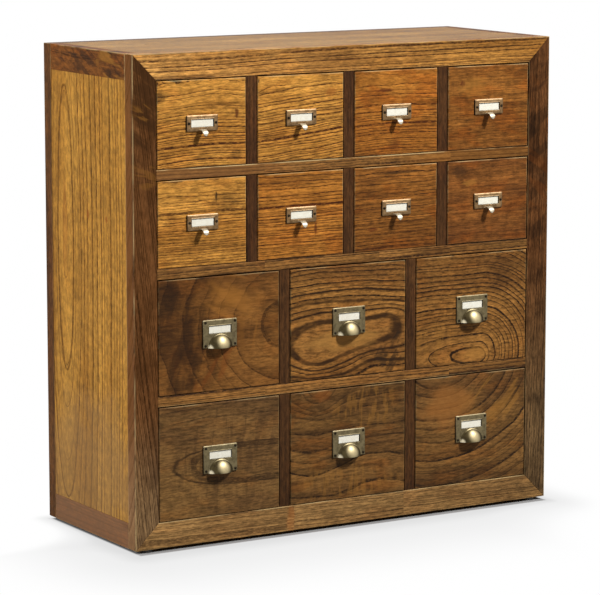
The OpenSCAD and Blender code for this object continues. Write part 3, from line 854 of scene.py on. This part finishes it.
def make_tongue(bm):
    """A finger tongue that bends out of the plate and down, crowned across, with a round tip."""
    low = -SMALL_PLATE[1] / 2
    thick = 1.7
    root = low + 2.4
    bend_drop = 6.0
    tip = low - 7.2
    tip_round = 4.6
    middle_out = TONGUE_OUT - thick / 2
    path = [(PLATE_T - 0.5, root)]
    for k in range(13):
        angle = math.pi / 2 * k / 12
        path.append((PLATE_T + (middle_out - PLATE_T) * math.sin(angle),
                     root - bend_drop * (1 - math.cos(angle))))
    start = path[-1][1]
    path += [(middle_out, start + (tip - start) * k / 6) for k in range(1, 7)]
    total = len(path) - 1
    loops = []
    for k, ((out, up), side) in enumerate(with_sides(path)):
        left = up - tip
        half = tip_round + 0.5 * math.sin(math.pi * k / total) + 4.0 * math.exp(-k / 1.6)
        if left < tip_round:
            half = max(0.4, 4.7 * math.sqrt(max(0.0, 1 - (1 - left / tip_round) ** 2)))
        loop = []
        for j in range(16):
            a = 2 * math.pi * j / 16
            x = half * math.copysign(abs(math.cos(a)) ** 0.6, math.cos(a))
            rise = thick / 2 * math.copysign(abs(math.sin(a)) ** 0.8, math.sin(a))
            rise *= 1.0 - 0.45 * (x / (half + 0.001)) ** 2
            loop.append((x, out + side.x * rise, up + side.y * rise))
        loops.append(loop)
    tube(bm, loops)


def make_screw(bm, x, up, turn):
    """A domed head with a slot, standing on the plate."""
    made = bmesh.new()
    steps = 24
    grid = [[made.verts.new((r * math.cos(2 * math.pi * k / steps), d,
                             r * math.sin(2 * math.pi * k / steps))) for k in range(steps)]
            for r, d in HEAD_OUTLINE]
    for a, b in zip(grid, grid[1:]):
        for k in range(steps):
            j = (k + 1) % steps
            made.faces.new((a[k], a[j], b[j], b[k]))
    made.faces.new(grid[-1])
    made.faces.new(grid[0][::-1])
    slot_lines = [side * (SLOT_HALF + edge) for side in (-1, 1) for edge in (-0.02, 0.02)]
    for place in sorted(slot_lines):
        bmesh.ops.bisect_plane(made, geom=made.verts[:] + made.edges[:] + made.faces[:],
                               plane_co=(place, 0, 0), plane_no=(1, 0, 0))
    for vert in made.verts:
        if abs(vert.co.x) < SLOT_HALF and vert.co.y > SLOT_FLOOR:
            vert.co.y = SLOT_FLOOR
    across, rise = math.cos(turn), math.sin(turn)
    spots = {}
    for vert in made.verts:
        spots[vert] = bm.verts.new((x + vert.co.x * across - vert.co.z * rise,
                                    PLATE_T + vert.co.y,
                                    up + vert.co.x * rise + vert.co.z * across))
    for face in made.faces:
        bm.faces.new([spots[vert] for vert in face.verts])
    made.free()


def add_piece(name, drawer, centre, materials, build):
    """A pull's piece, built in mm round the plate's middle, that rides on its drawer."""
    bm = bmesh.new()
    build(bm)
    for vert in bm.verts:
        x, out, up = vert.co
        vert.co = centre + Vector((x, -out, up)) * MM
    for face in bm.faces:
        face.smooth = True
    bmesh.ops.recalc_face_normals(bm, faces=bm.faces[:])
    mesh = bpy.data.meshes.new(name)
    bm.to_mesh(mesh)
    bm.free()
    mesh.set_sharp_from_angle(angle=SHARP_ANGLE)
    for material in materials:
        mesh.materials.append(material)
    piece = bpy.data.objects.new(name, mesh)
    bpy.context.scene.collection.objects.link(piece)
    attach(piece, drawer)
    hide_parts(drawer + "_pull")


def metal(name, light, dark, rough, facings=()):
    """Aged brass: patina in clouds and fine scratches. Faces that look one way may be lightened as
    a painted highlight, where light would catch them, and others darkened as painted shade, where
    they turn from the light: each facing has a colour, a direction and the cosines between which it
    comes in."""
    material, tree = new_material(name)
    place = object_place(tree)
    cloud = place.noise(scale=120.0, detail=4.0, roughness=0.65)
    speck = place.noise(scale=900.0)
    brushed = (place * (90.0, 90.0, 2600.0)).noise()
    tarnish = cloud.ramp(0.35, 0.7, 0.0, 0.8) + speck.ramp(0.55, 0.75, 0.0, 0.3)
    color = mix(tarnish, light, dark)
    normal = add_node(tree, "NewGeometry")["Normal"]
    # Painted highlights and painted shade, by the way each face looks
    for tint, toward, start, full in facings:
        facing = normal.dot(tuple(Vector(toward).normalized()))
        share = facing.ramp(start, full) * cloud.ramp(0.3, 0.7, 1.0, 0.75)
        color = mix(share, color, tint)
    principled(tree, (speck * 0.5 + brushed, 0.12, 0.1 * MM), {
        "Base Color": color, "Metallic": 1.0,
        "Roughness": rough + cloud * 0.16 + brushed * 0.08})
    return material


def paper(name):
    """Bare cream card with a faint fibrous mottling."""
    material, tree = new_material(name)
    place = object_place(tree)
    mottle = place.noise(scale=260.0, detail=4.0, roughness=0.7)
    fibre = (place * (700.0, 700.0, 2400.0)).noise()
    principled(tree, (fibre, 0.15, 0.1 * MM), {
        "Base Color": mix(mottle.ramp(0.3, 0.7), srgb(250, 246, 230), srgb(240, 233, 213)),
        "Roughness": 0.8, "Specular IOR Level": 0.2})
    return material


def pull_materials():
    """Brass of the pulls by part, most with painted highlights and shade, and the card."""
    return {
        # Small plate: its upward border faces are a painted highlight, and faces towards the left
        # and down are painted shade
        "small_plate": metal("small_brass_plate_painted_light_shade", srgb(140, 112, 78), srgb(88, 65, 40), 0.42,
                             [(srgb(222, 194, 154), (-0.1, -0.3, 1.0), 0.62, 0.97),
                              (srgb(26, 22, 17), (-1.0, -0.2, -0.5), 0.45, 0.8)]),
        # Large plate: faces towards the upper left are a painted highlight
        "large_plate": metal("olive_brass_plate", srgb(116, 104, 76), srgb(78, 68, 48), 0.42,
                             [(srgb(236, 220, 180), (-0.6, -0.1, 0.8), 0.5, 0.85)]),
        # Tongue: its dark base is painted shade for the shaded underside, and the faces turned up
        # and out are a painted highlight
        "finger_tongue": metal("brass_tongue_painted_light_shade", srgb(60, 54, 38), srgb(38, 34, 25), 0.34,
                               [(srgb(214, 202, 178), (0.0, -0.7, 0.7), 0.2, 0.8)]),
        # Cup: faces turned out and up carry a broad painted highlight, those towards the lower left
        # a small painted glint; its dark base is partly the brass's tone and partly painted shade
        # in place of a dark mirrored room
        "finger_cup": metal("brass_cup_painted_light_shade", srgb(78, 68, 44), srgb(50, 42, 28), 0.36,
                            [(srgb(178, 162, 124), (0.10, -1.0, 0.40), 0.84, 0.998),
                             (srgb(232, 220, 188), (-0.8, -0.6, -0.05), 0.945, 0.99)]),
        # Near-black brass of the screws, also laid on the plate walls as painted shade
        "screws": metal("black_brass_and_painted_wall_shade", srgb(50, 43, 33), srgb(28, 24, 18), 0.45),
        "card": paper("bare_card"),
    }


def make_pull(row, column, materials):
    """Plate, card, tongue or cup, and screws, in the place of a drawer's plain pull."""
    drawer = f"row{row}_drawer{column}"
    small = row in SMALL_ROWS
    width, height = size = SMALL_PLATE if small else LARGE_PLATE
    window_up = 0.0 if small else WINDOW_UP
    border = 4.2 if small else 1.6
    low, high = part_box(drawer + "_front")
    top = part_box(drawer + "_pull")[1][Z]
    centre = Vector(((low[X] + high[X]) / 2, low[Y], top - height / 2 * MM))
    screws = [(side * (width / 2 - SCREW_INSET), up * (height / 2 - SCREW_INSET))
              for side in (-1, 1) for up in ((0.0,) if small else (-1.0, 1.0))]

    def all_screws(bm):
        for index, (x, up) in enumerate(screws):
            make_screw(bm, x, up, 0.9 * index + 1.7 * column + 0.6 * row)

    finger = "finger_tongue" if small else "finger_cup"
    # The second material darkens the plate's walls as painted shade
    plate_metals = [materials["small_plate" if small else "large_plate"], materials["screws"]]
    add_piece(drawer + "_label_plate", drawer, centre, plate_metals,
              lambda bm: make_plate(bm, size, window_up, border))
    add_piece(drawer + "_label_card", drawer, centre, [materials["card"]],
              lambda bm: make_card(bm, window_up))
    add_piece(f"{drawer}_{finger}", drawer, centre, [materials[finger]],
              make_tongue if small else make_cup)
    add_piece(drawer + "_plate_screws", drawer, centre, [materials["screws"]],
              all_screws)


def dress_glides():
    """Black moulded plastic with a fine grain."""
    material, tree = new_material("black_glide")
    grain = object_place(tree).noise(scale=1200.0)
    principled(tree, (grain, 0.3, 0.2 * MM), {
        "Base Color": mix(grain, srgb(30, 28, 26), srgb(48, 45, 41)),
        "Roughness": grain.ramp(0.0, 1.0, 0.45, 0.65)})
    dress("glides", material, GLIDE_BEVEL)


# Fitted to the chest's corners in the photograph: metres, degrees and mm
CAMERA_AT = (-2.6566, -4.3849, 1.1600)
CAMERA_YAW = 31.162
CAMERA_PITCH = 8.811
CAMERA_LENS = 184.44


def make_camera():
    camera = bpy.data.objects.new("camera", bpy.data.cameras.new("camera"))
    camera.data.lens = CAMERA_LENS
    camera.data.clip_end = 100
    camera.location = CAMERA_AT
    camera.rotation_euler = (math.radians(90 - CAMERA_PITCH), 0, math.radians(-CAMERA_YAW))
    bpy.context.scene.collection.objects.link(camera)
    bpy.context.scene.camera = camera


def area_light(name, place, aim, size, energy):
    light = bpy.data.objects.new(name, bpy.data.lights.new(name, "AREA"))
    light.data.shape = "DISK"
    light.data.size = size
    light.data.energy = energy
    light.location = place
    light.rotation_euler = (Vector(aim) - Vector(place)).to_track_quat("-Z", "Y").to_euler()
    bpy.context.scene.collection.objects.link(light)


WHITE = (1, 1, 1, 1)
WORLD_FILL = 0.06
FLOOR_HALF = 6.0
FLOOR_GREY = 0.35
CHEST_HALF_WIDTH = 0.4
CHEST_HALF_DEPTH = 0.16


def background_rays(tree):
    """1 for the rays that show the white background, seen straight, mirrored or through."""
    rays = add_node(tree, "LightPath")
    seen = rays["Is Camera Ray"].at_least(rays["Is Transmission Ray"])
    return seen.at_least(rays["Is Glossy Ray"])


def make_world():
    world = bpy.data.worlds.new("studio")
    bpy.context.scene.world = world
    world.use_nodes = True
    tree = world.node_tree
    tree.nodes.clear()
    strength = blend(background_rays(tree), WORLD_FILL, 1.0)
    glow = add_node(tree, "Background", {"Color": WHITE, "Strength": strength})[0]
    add_node(tree, "OutputWorld", {"Surface": glow})


def beyond(position, turn, half, stretch):
    """How far a place on the floor is past one side of the chest, stretched."""
    return (position * turn - half).at_least(0.0) * stretch


def floor_material():
    """Grey under the lamps, and white to the camera away from the chest, where its shadow ends.
    Near the chest the grey and the white are both darkened as a painted contact shadow. The shadow
    reaches furthest to the front left, so the white comes in slowly there."""
    material, tree = new_material("pale_floor")
    place = object_place(tree)
    x, y = place.parts()[:2]
    left = beyond(x, -1, CHEST_HALF_WIDTH, y.ramp(-0.05, 0.12, 1.0, 8.0))
    right = beyond(x, 1, CHEST_HALF_WIDTH, 3.0)
    front = beyond(y, -1, CHEST_HALF_DEPTH, x.ramp(0.2, 0.5, 0.75, 2.5))
    behind = beyond(y, 1, CHEST_HALF_DEPTH, 8.0)
    far = join(left + right, front + behind, 0.0).length()
    sides = (abs(place) - (CHEST_HALF_WIDTH, CHEST_HALF_DEPTH, 0)).parts()
    outside = sides[X].at_least(sides[Y]).ramp(-0.006, 0.0)
    # Painted contact shadow: darker close to the chest
    painted_contact_shade = far.ramp(0.0, 0.05, 0.88, 1.0)
    matt = add_node(tree, "BsdfDiffuse", {"Color": painted_contact_shade * FLOOR_GREY})[0]
    # The glow also dims close to the chest, as a painted shadow
    strength = painted_contact_shade * far.ramp(0.0, 0.25, 0.89, 1.0)
    glow = add_node(tree, "Emission", {"Color": WHITE, "Strength": strength})[0]
    clear = background_rays(tree) * far.ramp(0.0, 0.32, 0.925, 1.0) * outside
    surface = add_node(tree, "MixShader", {0: clear, 1: matt, 2: glow})[0]
    add_node(tree, "OutputMaterial", {"Surface": surface})
    return material


def make_floor():
    mesh = bpy.data.meshes.new("floor")
    corners = [(x * FLOOR_HALF, y * FLOOR_HALF, 0) for x, y in ((-1, -1), (1, -1), (1, 1), (-1, 1))]
    mesh.from_pydata(corners, [], [(0, 1, 2, 3)])
    floor = bpy.data.objects.new("floor", mesh)
    bpy.context.scene.collection.objects.link(floor)
    floor.data.materials.append(floor_material())


def make_lamps():
    area_light("key", (2.0, -2.95, 4.0), (0, 0, 0.4), 0.7, 310)
    area_light("side", (-4.0, 0.35, 1.9), (-0.4, 0, 0.4), 1.4, 120)


dress_carcass()
dress_drawers()
dress_glides()
pull_looks = pull_materials()
for row, column in FIGURES:
    make_pull(row, column, pull_looks)
make_camera()
make_world()
make_floor()
make_lamps()
bpy.context.scene.view_settings.view_transform = "Standard"
